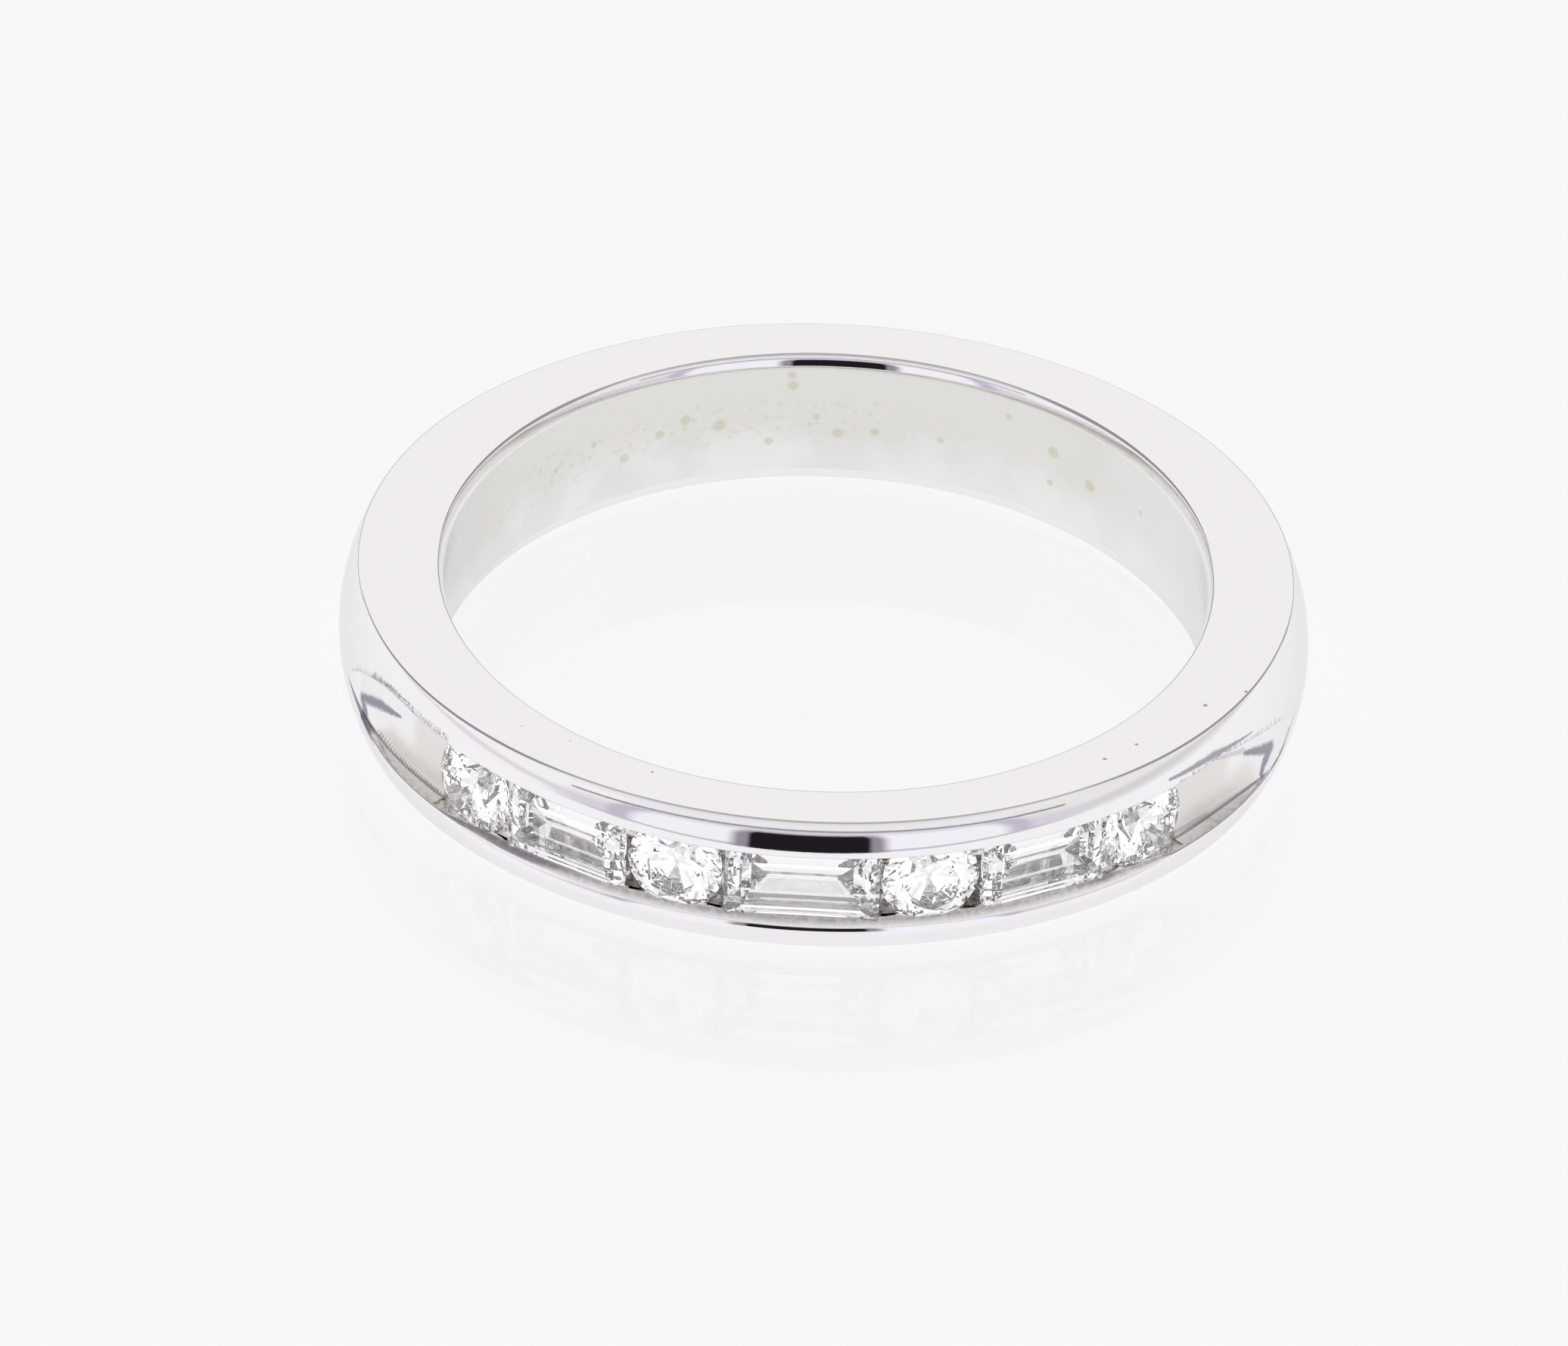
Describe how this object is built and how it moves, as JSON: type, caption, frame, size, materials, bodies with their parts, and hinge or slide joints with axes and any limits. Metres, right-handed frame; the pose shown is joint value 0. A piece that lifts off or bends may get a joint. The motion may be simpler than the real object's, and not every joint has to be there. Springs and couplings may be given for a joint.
{
  "type": "diamond band",
  "caption": "Domed white gold ring with round and baguette diamonds set in turn in a channel whose ends run out to polished points.",
  "frame": {"origin": "on the axis of the finger hole, in the flat face that the ring rests on", "axes": "+Z along the finger hole, up from the face it rests on; -Y out through the middle of the row of stones; +X to the right of one who faces the stones"},
  "size_m": [0.022, 0.0207, 0.0034],
  "materials": {
    "white_gold": "mirror polish, satin in the bare ends of the channel",
    "diamond": "polished facets"
  },
  "bodies": {
    "root": {"band": "white_gold", "round_stone_1": "diamond", "round_stone_2": "diamond", "round_stone_3": "diamond", "round_stone_4": "diamond", "baguette_1": "diamond", "baguette_2": "diamond", "baguette_3": "diamond"}
  },
  "joints": []
}
